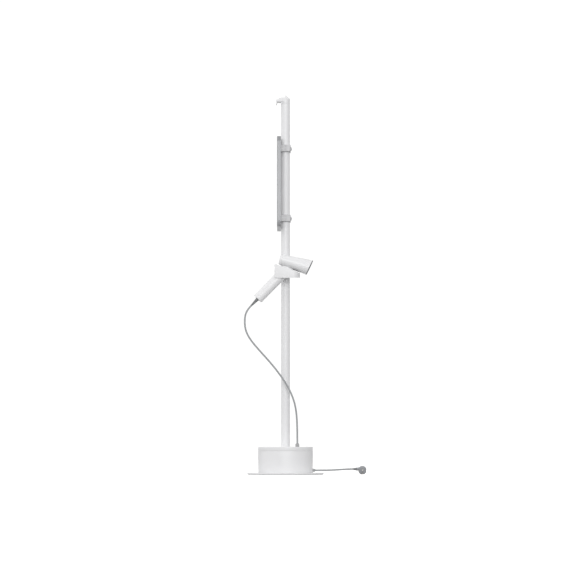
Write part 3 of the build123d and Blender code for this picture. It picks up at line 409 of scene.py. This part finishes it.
plug_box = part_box("plug_boot")
plug_entry_z = (plug_box[0].z + plug_box[1].z) / 2
mains_route = [
    Vector((drum_r + mains_gland_len, 0, mains_gland_z)),
    Vector((0.169, 0, mains_gland_z)),
    Vector((0.212, 0.001, 0.0208)),
    Vector((0.254, 0.0005, 0.0232)),
    Vector((0.286, 0, plug_entry_z)),
    Vector((plug_box[0].x, 0, plug_entry_z)),
]
mains_cord = centre_line("mains_cord_line", mains_route)
mains_length = path_length(line_points(mains_cord))
mains_cord.data.bevel_depth = mains_cord_d / 2
mains_cord.data.bevel_resolution = 6
mains_cord.data.use_fill_caps = True
place(mains_cord, "stand", "cord_grey", "mains_cord")

# ---------------------------------------------------------------- base and pole

plate_low, plate_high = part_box("floor_plate")
plate_r = plate_high.x
rim_arc, underside_arc = 2.2 * MM, 1 * MM
floor_plate = turned("floor_plate_disc", Vector(), Z, [
    (plate_low.z, 0),
    (plate_low.z, plate_r - underside_arc),
    *rounded(plate_low.z + underside_arc, plate_r - underside_arc, underside_arc, 180, 90, 3),
    *rounded(plate_high.z - rim_arc, plate_r - rim_arc, rim_arc, 90, 0),
    (plate_high.z, 0),
], segments=192)
place(floor_plate, "stand", "white_metal", "floor_plate")

shell_low, shell_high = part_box("drum_shell")
shell_top = shell_high.z - lid_seam
bend_r, lip_r = 1.2 * MM, 0.6 * MM
drum_shell = turned("drum_shell_wall", Vector(), Z, [
    (shell_low.z, drum_r - drum_flange_w),
    (shell_low.z, drum_r - bend_r),
    *rounded(shell_low.z + bend_r, drum_r - bend_r, bend_r, 180, 90, 4),
    *rounded(shell_top - lip_r, drum_r - lip_r, lip_r, 90, 0, 3),
    (shell_top, drum_r - drum_wall),
    (shell_low.z + drum_wall, drum_r - drum_wall),
    (shell_low.z + drum_wall, drum_r - drum_flange_w),
], segments=192)
place(drum_shell, "stand", "white_metal", "drum_shell")

place(softened_copy("drum_lid", 0.6 * MM), "stand", "white_metal", "drum_lid")

mat_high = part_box("floor_mat")[1]
mat_edge_r = 0.5 * MM
floor_mat = turned("floor_mat_disc", Vector(), Z, [
    (0, 0),
    (0, mat_high.x - mat_edge_r),
    *rounded(mat_edge_r, mat_high.x - mat_edge_r, mat_edge_r, 180, 90, 3),
    (mat_high.z, mat_high.x),
    (mat_high.z, 0),
], segments=192)
place(floor_mat, "stand", "mat_rubber", "floor_mat")

tube_low, tube_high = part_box("pole_tube")
pole_r = tube_high.x
end_r = 0.5 * MM
pole = turned("pole_tube_wall", Vector(), Z, [
    (tube_low.z, pole_r - pole_wall),
    (tube_low.z, pole_r),
    (tube_high.z - 0.7 * MM, pole_r),
    *rounded(tube_high.z - end_r, pole_r - end_r, end_r, 90, 0, 3),
    (tube_high.z, pole_r - pole_wall),
], segments=96)
place(pole, "stand", "white_metal", "pole_tube")

place(softened_copy("top_cap", 0.8 * MM), "stand", "white_metal", "top_cap")
place(softened_copy("coat_hook", 0.9 * MM), "stand", "white_metal", "coat_hook")


# ---------------------------------------------------------------- glands

def gland_flutes(angle, row, count=16, depth=0.045):
    """Narrow grooves round the two widest rows of a gland's nut."""
    return 1 - depth * (0.5 + 0.5 * cos(count * angle)) ** 3 if row in (2, 3) else 1


def gland(name, origin, along, length, base_r, node):
    """A cable gland: chamfered hexagon, fluted dome nut, and a soft seal lip round the cord."""
    bm = bmesh.new()
    hexagon = [
        (base_r * cos(radians(60 * k)), base_r * sin(radians(60 * k))) for k in range(6)
    ]
    prism(bm, origin, along, hexagon, gland_hexagon_t)
    body = soften(new_piece(name + "_hexagon", bm), 0.7 * MM)
    nut_low, nut_high = gland_hexagon_t + 0.2 * MM, length - 4 * MM
    nut = turned(name + "_dome_nut", origin, along, [
        (nut_low, 0),
        (nut_low, base_r - 2.0 * MM),
        (nut_low + 0.8 * MM, base_r - 1.0 * MM),
        (nut_high - 1.5 * MM, base_r - 1.3 * MM),
        (nut_high, base_r - 2.0 * MM),
        (length - 1.6 * MM, gland_nose_r + 0.8 * MM),
        (length - 1.2 * MM, gland_nose_r + 0.2 * MM),
        (length - 1.2 * MM, 0),
    ], segments=128, wave=gland_flutes)
    lip = turned(name + "_seal", origin, along, [
        (length - 2.5 * MM, 0),
        (length - 2.5 * MM, gland_nose_r),
        (length - 0.5 * MM, gland_nose_r - 0.2 * MM),
        (length, gland_nose_r - 0.8 * MM),
        (length, 0),
    ], segments=48)
    place(body, "stand", "gland_grey", node)
    place(nut, "stand", "gland_grey", node)
    place(lip, "stand", "dark_grey", node)


lid_gland_at = Vector((gland_x, gland_y, lid_top_z))
side_gland_at = Vector((drum_r - 0.2 * MM, 0, mains_gland_z))
gland("lid_gland", lid_gland_at, Z, gland_h, lid_gland_r, "dryer_gland")
gland("side_gland", side_gland_at, X, mains_gland_len, side_gland_r, "mains_gland")


# ---------------------------------------------------------------- mirror

place(softened_copy("mirror_frame", 0.8 * MM), "mirror", "frame_aluminium", "mirror_frame")


def rounded_rectangle(half_w, half_h, corner_r, steps=10):
    """Corners of a rounded rectangle, counter-clockwise."""
    outline = []
    for quarter, (sx, sz) in enumerate(((1, 1), (-1, 1), (-1, -1), (1, -1))):
        centre_x, centre_z = sx * (half_w - corner_r), sz * (half_h - corner_r)
        for k in range(steps + 1):
            angle = radians(90 * (quarter + k / steps))
            outline.append((centre_x + corner_r * cos(angle), centre_z + corner_r * sin(angle)))
    return outline


def plate_with_bevel(name, low, high, corner_r, bevel_w, bevel_d):
    """A flat plate facing -X whose front edge has a wide ground bevel."""
    bm = bmesh.new()
    centre = (low + high) / 2
    half_w, half_h = (high.y - low.y) / 2, (high.z - low.z) / 2
    loops = []
    for x, inset in ((high.x, 0), (low.x + bevel_d, 0), (low.x, bevel_w)):
        outline = rounded_rectangle(half_w - inset, half_h - inset, corner_r - inset)
        loops.append([bm.verts.new((x, centre.y + y, centre.z + z)) for y, z in outline])
    bm.faces.new(loops[0])
    bm.faces.new(loops[-1])
    for a, b in zip(loops, loops[1:]):
        for k in range(len(a)):
            j = (k + 1) % len(a)
            bm.faces.new((a[k], a[j], b[j], b[k]))
    return new_piece(name, bm, sharp=radians(3))


mirror_glass = plate_with_bevel("mirror_pane", *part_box("mirror_glass"), glass_corner_r, glass_bevel_w,
                                glass_bevel_d)
place(mirror_glass, "mirror", "mirror_silver", "mirror_glass")


def knob_grip(angle, row, depth=0.07):
    """Shallow grips round the two widest rows of a knob."""
    return 1 - depth * (0.5 + 0.5 * cos(knob_grips * angle)) ** 2 if row in (2, 3) else 1


for level in ("upper", "lower"):
    for half in ("front", "rear"):
        node_name = f"{level}_clamp_{half}"
        place(softened_copy(node_name, 0.9 * MM), "mirror", "clamp_silver", node_name)
    node_name = f"{level}_clamp_knob"
    knob_low, knob_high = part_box(node_name)
    knob_r = (knob_high.y - knob_low.y) / 2
    knob_base = Vector((knob_high.x - knob_len, 0, (knob_low.z + knob_high.z) / 2))
    knob = turned(f"{level}_knob", knob_base, X, [
        (-2.0 * MM, 0),
        (-2.0 * MM, 3.0 * MM),
        (0, knob_r - 0.6 * MM),
        (1.4 * MM, knob_r),
        (2.4 * MM, knob_r - 1.4 * MM),
        (3.4 * MM, knob_r - 4.4 * MM),
        (4.6 * MM, 3.2 * MM),
        (5.3 * MM, 2.2 * MM),
        (knob_len, 1.0 * MM),
        (knob_len, 0),
    ], segments=96, wave=knob_grip)
    place(knob, f"{level}_knob", "clamp_silver", node_name)


# ---------------------------------------------------------------- dryer barrel

def barrel_radius(s):
    """Outer radius of the tapered barrel at a distance from its rear."""
    return barrel_rear_r + (barrel_front_r - barrel_rear_r) * s / barrel_len


ring_gap = 0.35 * MM
body_end = barrel_len - outlet_ring_t - ring_gap
straight_s = 7 * MM
barrel_steps = [straight_s + (body_end - straight_s) * k / 10 for k in range(11)]
barrel = turned("barrel_body", barrel_rear, barrel_along, [
    (0.2 * MM, barrel_radius(0) - shell_t),
    (0.2 * MM, barrel_radius(0) - 0.5 * MM),
    (0.7 * MM, barrel_radius(0)),
    *[(s, barrel_radius(s), s == barrel_steps[-1]) for s in barrel_steps],
    (body_end, barrel_radius(body_end) - shell_t, True),
], lean=outlet_lean, up=barrel_up, segments=128)
place(barrel, "dryer", "dryer_white", "barrel_shell")

rim_start = barrel_len - outlet_ring_t
rim_r = barrel_radius(barrel_len)
rim_inner_r = rim_r - shell_t - 0.6 * MM
rim = turned("outlet_rim", barrel_rear, barrel_along, [
    (rim_start, rim_inner_r, True),
    (rim_start, rim_r - 0.3 * MM, True),
    (rim_start + 0.6 * MM, rim_r, True),
    (barrel_len - 0.9 * MM, rim_r, True),
    (barrel_len - 0.2 * MM, rim_r - 0.5 * MM, True),
    (barrel_len, rim_r - 1.4 * MM, True),
    (barrel_len - 0.3 * MM, rim_r - 2.4 * MM, True),
    (barrel_len - 1.2 * MM, rim_inner_r, True),
], lean=outlet_lean, up=barrel_up, segments=128)
place(rim, "dryer", "dark_grey", "outlet_ring")


# ---------------------------------------------------------------- dryer handle

def handle_radius(t):
    """Outer radius of the tapered handle at a distance from its end."""
    return handle_end_r + (handle_top_r - handle_end_r) * t / handle_len


def handle_place(t, angle, sign, outset=0.0):
    """A point of the handle's skin at a distance from its end; the skin flattens sideways along the neck."""
    r = handle_radius(t)
    neck = max(0, t - neck_start) / (handle_len - neck_start)
    half_w = r + (neck_half_w - r) * neck
    out = Y * sign * cos(angle) * (half_w + outset)
    return handle_end + handle_along * t + out + handle_up * sin(angle) * (r + outset)


def meets_barrel(angle, sign, outset, halvings=30):
    """How far along the handle a line on its skin runs before it is just inside the barrel's skin."""
    low, high, sink = handle_len / 2, handle_len, 0.8 * MM
    for _ in range(halvings):
        middle = (low + high) / 2
        offset = handle_place(middle, angle, sign, outset) - barrel_rear
        s = offset.dot(barrel_along)
        outside = (offset - barrel_along * s).length > barrel_radius(s) - sink
        low, high = (middle, high) if outside else (low, middle)
    return low


def handle_half(name, sign):
    """Half of the handle's shell, with a fine parting line and a flare where it joins the barrel."""
    bm = bmesh.new()
    segments, steps, flare_steps = 48, 12, 6
    parting, groove = 0.012, 0.35 * MM
    end_arc, end_wall, cord_hole_r = 3 * MM, 4 * MM, 5 * MM
    flare_len, flare = 6 * MM, 1.4 * MM
    columns = []
    for k in range(segments + 1):
        angle = max(-pi / 2 + parting, min(pi / 2 - parting, -pi / 2 + pi * k / segments))
        edge = -groove if k in (0, segments) else 0
        end = meets_barrel(angle, sign, flare)
        straight = end - flare_len
        hole = cord_hole_r - handle_end_r
        column = [(0.3 * MM, hole), (0, hole + 1 * MM), (0, -end_arc - 0.2 * MM)]
        column += [(s, r - end_arc) for s, r in rounded(end_arc, 0, end_arc, 180, 90, 6)]
        column += [(end_arc + (straight - end_arc) * j / steps, 0) for j in range(1, steps + 1)]
        for j in range(1, flare_steps + 1):
            share = j / flare_steps
            column.append((straight + flare_len * share, flare * (1 - cos(share * pi / 2))))
        column += [(end, -shell_t), (end_wall, -shell_t), (end_wall, hole)]
        columns.append([bm.verts.new(handle_place(s, angle, sign, outset + edge)) for s, outset in column])
    count = len(columns[0])
    for a, b in zip(columns, columns[1:]):
        for j in range(count):
            i = (j + 1) % count
            bm.faces.new((a[j], a[i], b[i], b[j]))
    bm.faces.new(columns[0])
    bm.faces.new(columns[-1])
    return new_piece(name, bm)


place(handle_half("handle_shell_near", -1), "dryer", "dryer_white", "handle_near")
place(handle_half("handle_shell_far", 1), "dryer", "dryer_white", "handle_far")

button_low, button_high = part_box("button")
button_at = handle_end + handle_along * button_along
button_r = (button_high.x - button_low.x) / 2
button = turned("button_cap", Vector((button_at.x, button_low.y, button_at.z)), Y, [
    (0.5 * MM, 0),
    (0.35 * MM, 1.6 * MM),
    (0, button_r - 1.3 * MM),
    (0.1 * MM, button_r - 0.6 * MM),
    (0.7 * MM, button_r - 0.1 * MM),
    (4.2 * MM, button_r - 0.1 * MM),
    (4.2 * MM, 0),
], segments=48, up=Z)
place(button, "button", "dryer_white", "button")

bezel_at = Vector((button_at.x, dryer_y - handle_radius(button_along), button_at.z))
bezel = turned("button_bezel", bezel_at, Y, [
    (1.4 * MM, button_r + 0.3 * MM),
    (-0.2 * MM, button_r + 0.3 * MM),
    (-0.5 * MM, button_r + 0.9 * MM),
    (-0.2 * MM, button_r + 1.7 * MM),
    (1.6 * MM, button_r + 2.2 * MM),
], segments=48, up=Z)
place(bezel, "dryer", "dryer_white")

# Cord boot: a neck inside the handle, a root flange, then a taper cut by ring grooves
boot_tip_r = dryer_cord_d / 2 + 0.7 * MM
boot_neck_r = boot_big_r - 1.5 * MM
cord_boot = turned("cord_boot_ribbed", handle_end, handle_along, [
    (3 * MM, 0),
    (3 * MM, boot_neck_r),
    (0.2 * MM, boot_neck_r),
    (0.2 * MM, boot_big_r),
    (-1 * MM, boot_big_r + 0.3 * MM),
    (-4 * MM, boot_big_r),
    *grooved_taper(-5 * MM, 9 * MM - boot_len, boot_big_r, boot_tip_r, depth=1 * MM, grooves=8, land=0.5),
    (-boot_len + 3 * MM, boot_tip_r),
    (-boot_len + 0.4 * MM, boot_tip_r - 0.1 * MM),
    (-boot_len, boot_tip_r - 0.5 * MM),
    (-boot_len, 0),
], segments=64)
place(cord_boot, "dryer", "dark_grey", "cord_boot")

# ---------------------------------------------------------------- fork

place(softened_copy("holder_fork", 1.0 * MM, 4), "stand", "fork_white", "holder_fork")
place(softened_copy("holder_collar", 0.8 * MM), "stand", "fork_white", "holder_collar")
place(softened_copy("holder_clamp", 0.8 * MM), "stand", "fork_white", "holder_clamp")

# ---------------------------------------------------------------- plug

body_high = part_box("plug_body")[1]
plug_lean = atan((plug_r - pin_pitch / 2 - pin_r) / pin_len)
pin_along = Vector((0, -cos(plug_lean), -sin(plug_lean)))
pin_across = Vector((0, -sin(plug_lean), cos(plug_lean)))
plug_x = body_high.x - plug_r
plug_face = Vector((plug_x, pin_along.y * plug_entry, plug_r * cos(plug_lean)))


def plug_grooves(angle, row, depth=0.13, edge=0.965, edge_w=0.012):
    """Two flat-bottomed grooves for the earth clips, on the sides away from the pins."""
    if row not in (1, 2, 3, 4):
        return 1
    return 1 - depth * min(1, max(0, (abs(sin(angle)) - edge) / edge_w))


plug_body = turned("plug_moulding", plug_face, -pin_along, [
    (0.6 * MM, 0),
    (0, plug_r - 2.4 * MM),
    (0.5 * MM, plug_r - 0.8 * MM),
    (1.6 * MM, plug_r - 0.1 * MM),
    (13 * MM, plug_r - 0.1 * MM),
    (15 * MM, plug_r - 0.7 * MM),
    (19 * MM, 16.4 * MM),
    (24 * MM, 14.2 * MM),
    (29 * MM, 12.4 * MM),
    (32 * MM, 10.6 * MM),
    (33.6 * MM, 7.5 * MM),
    (plug_depth, 3.5 * MM),
    (plug_depth, 0),
], segments=192, up=pin_across, wave=plug_grooves)
place(plug_body, "stand", "plug_grey", "plug_body")

neck_at = Vector((plug_box[1].x, 0, plug_entry_z))
neck_len = plug_x - neck_at.x
plug_neck = turned("plug_neck", neck_at, X, [
    (0, 0),
    (0, 6.2 * MM),
    (0.8 * MM, 7.0 * MM),
    (neck_len - 14 * MM, 8.0 * MM),
    (neck_len - 8 * MM, 8.6 * MM),
    (neck_len, 8.0 * MM),
    (neck_len, 0),
], segments=64)
place(plug_neck, "stand", "plug_grey", "plug_body")

clip_half_w, clip_half_t, clip_len = 3.6 * MM, 0.5 * MM, 12 * MM
for number, side in enumerate((-1, 1)):
    root = plug_face + pin_across * side * pin_pitch / 2
    pin = turned(f"plug_pin_{number}", root, pin_along, [
        (-2 * MM, 0),
        (-2 * MM, pin_r),
        (pin_len - 2.2 * MM, pin_r),
        (pin_len - 1.2 * MM, pin_r * 0.93),
        (pin_len - 0.4 * MM, pin_r * 0.72),
        (pin_len, pin_r * 0.35),
        (pin_len, 0),
    ], segments=40)
    place(pin, "stand", "pin_metal", "plug_pins")
    clip_root = plug_face + X * side * (plug_r - 2.2 * MM)
    bm = bmesh.new()
    prism(bm, clip_root - pin_along * 0.2 * MM, -pin_along, [
        (-clip_half_w, -clip_half_t),
        (clip_half_w, -clip_half_t),
        (clip_half_w, clip_half_t),
        (-clip_half_w, clip_half_t),
    ], clip_len, up=X * side)
    clip = soften(new_piece(f"earth_clip_{number}", bm), 0.3 * MM, 2)
    place(clip, "stand", "pin_metal")

plug_boot = turned("plug_boot_ribbed", neck_at, -X, [
    (0, 0),
    (0, 6.6 * MM),
    (2 * MM, 6.6 * MM),
    *grooved_taper(2.5 * MM, 13 * MM, 6.5 * MM, 4.5 * MM, depth=0.8 * MM, grooves=4, land=0.45),
    (17.4 * MM, 4.5 * MM),
    (18 * MM, 4.2 * MM),
    (18 * MM, 0),
], segments=64)
place(plug_boot, "stand", "dark_grey", "plug_boot")


# ---------------------------------------------------------------- floor and light

def studio_floor(colour=0.6, glow=0.72, size=40):
    """A plain pale floor that glows a little, so that no shadow on it is deep."""
    material = bpy.data.materials.new("studio_floor")
    material.use_nodes = True
    shader = material.node_tree.nodes["Principled BSDF"]
    shader.inputs["Base Color"].default_value = (colour, colour, colour, 1)
    shader.inputs["Roughness"].default_value = 0.9
    shader.inputs["Emission Color"].default_value = (1, 1, 1, 1)
    shader.inputs["Emission Strength"].default_value = glow
    bm = bmesh.new()
    bmesh.ops.create_grid(bm, x_segments=2, y_segments=2, size=size)
    floor = new_piece("studio_floor", bm)
    floor.data.materials.append(material)
    floor.visible_diffuse = False


def studio_sky(dark=0.22, bright=0.82, backdrop_glow=1.3):
    """A sky that lights from dark below to bright above, before a white backdrop that the camera sees."""
    world = bpy.data.worlds.new("studio")
    bpy.context.scene.world = world
    world.use_nodes = True
    nodes, links = world.node_tree.nodes, world.node_tree.links
    sky = nodes["Background"]
    sky.inputs["Strength"].default_value = 1
    ray = nodes.new("ShaderNodeTexCoord")
    height = nodes.new("ShaderNodeVectorMath")
    height.operation = "DOT_PRODUCT"
    height.inputs[1].default_value = (-0.15, 0, 1)
    links.new(ray.outputs["Generated"], height.inputs[0])
    brightness = nodes.new("ShaderNodeMapRange")
    brightness.inputs["From Min"].default_value = -0.8
    brightness.inputs["From Max"].default_value = 0.8
    brightness.inputs["To Min"].default_value = dark
    brightness.inputs["To Max"].default_value = bright
    links.new(height.outputs["Value"], brightness.inputs["Value"])
    links.new(brightness.outputs["Result"], sky.inputs["Color"])
    backdrop = nodes.new("ShaderNodeBackground")
    backdrop.inputs["Strength"].default_value = backdrop_glow
    seen = nodes.new("ShaderNodeLightPath")
    mixed = nodes.new("ShaderNodeMixShader")
    links.new(seen.outputs["Is Camera Ray"], mixed.inputs["Fac"])
    links.new(sky.outputs["Background"], mixed.inputs[1])
    links.new(backdrop.outputs["Background"], mixed.inputs[2])
    links.new(mixed.outputs["Shader"], nodes["World Output"].inputs["Surface"])


def soft_light(name, place_at, size, watts, aim_at=(0, 0, 0.9)):
    """A large square lamp turned towards the middle of the object."""
    lamp = bpy.data.lights.new(name, "AREA")
    lamp.shape = "SQUARE"
    lamp.size = size
    lamp.energy = watts
    light = bpy.data.objects.new(name, lamp)
    light.location = place_at
    light.rotation_euler = (Vector(aim_at) - Vector(place_at)).to_track_quat("-Z", "Y").to_euler()
    bpy.context.scene.collection.objects.link(light)


studio_floor()
studio_sky()
bpy.context.scene.view_settings.view_transform = "Standard"
soft_light("key", (0.3, -5.4, 2.1), size=3.2, watts=135)
soft_light("left_fill", (-4.4, 0.9, 1.6), size=2.5, watts=30)
soft_light("overhead", (-1.5, -1.0, 5.5), size=3.0, watts=20)
